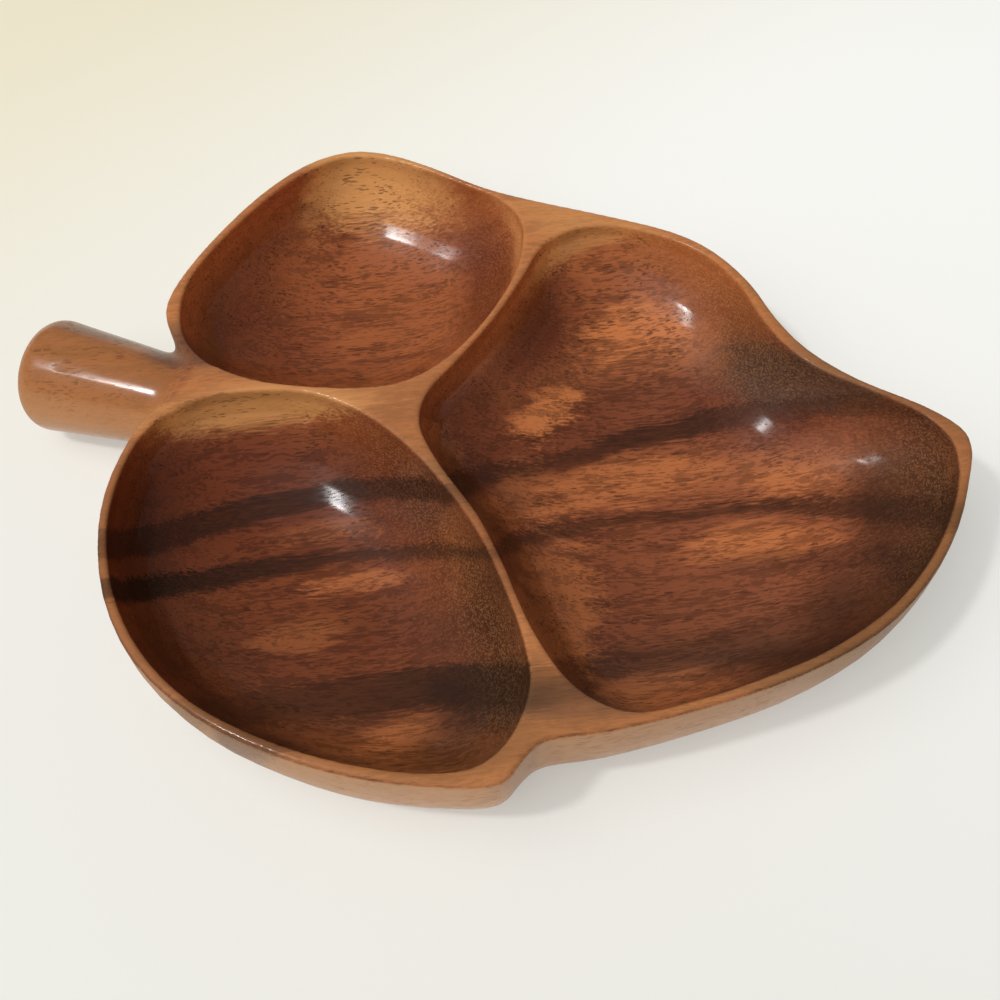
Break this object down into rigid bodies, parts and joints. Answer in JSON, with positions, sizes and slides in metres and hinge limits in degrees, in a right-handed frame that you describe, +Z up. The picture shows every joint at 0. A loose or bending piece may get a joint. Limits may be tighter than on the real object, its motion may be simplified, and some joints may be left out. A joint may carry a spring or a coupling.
{
  "type": "divided serving bowl",
  "caption": "Leaf-shaped serving bowl carved from solid hardwood, with separate deep pockets under one flat rim and a short round stem as its handle.",
  "frame": {"origin": "on the table, under the centre of the whole outline seen from above", "axes": "+X from the end of the stem to the tip of the leaf, +Z up out of the pockets, +Y towards the smaller of the two round lobes"},
  "size_m": [0.393, 0.3024, 0.05],
  "materials": {
    "hardwood": "satin lacquer over streaked brown tropical hardwood"
  },
  "bodies": {
    "root": {"carved_bowl": "hardwood"}
  },
  "joints": []
}
